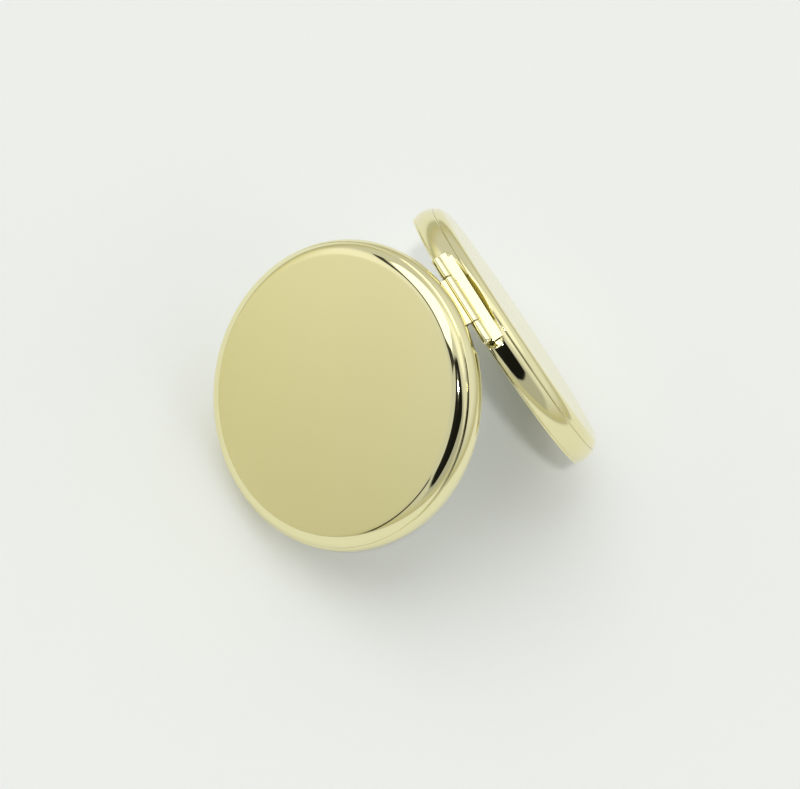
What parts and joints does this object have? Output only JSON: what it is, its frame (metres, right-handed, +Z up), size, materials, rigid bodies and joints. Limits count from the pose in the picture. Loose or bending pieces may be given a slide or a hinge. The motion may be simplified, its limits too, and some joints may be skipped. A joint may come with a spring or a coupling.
{
  "type": "compact mirror",
  "caption": "Round folding pocket mirror in a pale gold metal case, standing open like a tent, with a three-knuckle hinge and a push-button latch.",
  "frame": {"origin": "middle of the footprint of the standing case, on the floor", "axes": "+Z up; +Y along the hinge axis; the base half leans down towards +X and the lid half towards -X"},
  "size_m": [0.0908, 0.07, 0.0594],
  "materials": {
    "gold_plate": "polished pale gold plating",
    "latch_steel": "bare stamped steel",
    "foam_tape": "white double-sided foam",
    "mirror_glass": "silvered glass"
  },
  "bodies": {
    "base": {"base_shell": "gold_plate", "base_tray": "gold_plate", "base_mirror_pad": "foam_tape", "base_mirror": "mirror_glass", "base_hinge_leaf": "gold_plate", "base_leaf_rivets": "gold_plate", "hinge_pin": "gold_plate", "latch_spring": "latch_steel", "latch_guide": "latch_steel", "latch_guide_rivets": "latch_steel"},
    "latch": {"latch_button": "gold_plate", "latch_slide": "latch_steel"},
    "lid": {"lid_shell": "gold_plate", "lid_tray": "gold_plate", "lid_mirror_pad": "foam_tape", "lid_mirror": "mirror_glass", "lid_hinge_leaf": "gold_plate", "lid_leaf_rivets": "gold_plate", "lid_hook": "gold_plate", "lid_hook_rivets": "gold_plate"}
  },
  "joints": [
    {"name": "lid_hinge", "type": "hinge", "parent": "base", "child": "lid", "pos_m": [0.00009, 0, 0.05684], "axis": [0, 1, 0], "range_deg": [-71.5, 108.5]},
    {"name": "button_press", "type": "slide", "parent": "base", "child": "latch", "axis": [-0.5969, 0, 0.8023], "range_m": [0, 0.0007], "stiffness_N_per_m": 1500, "deforming": ["latch_spring"]}
  ]
}
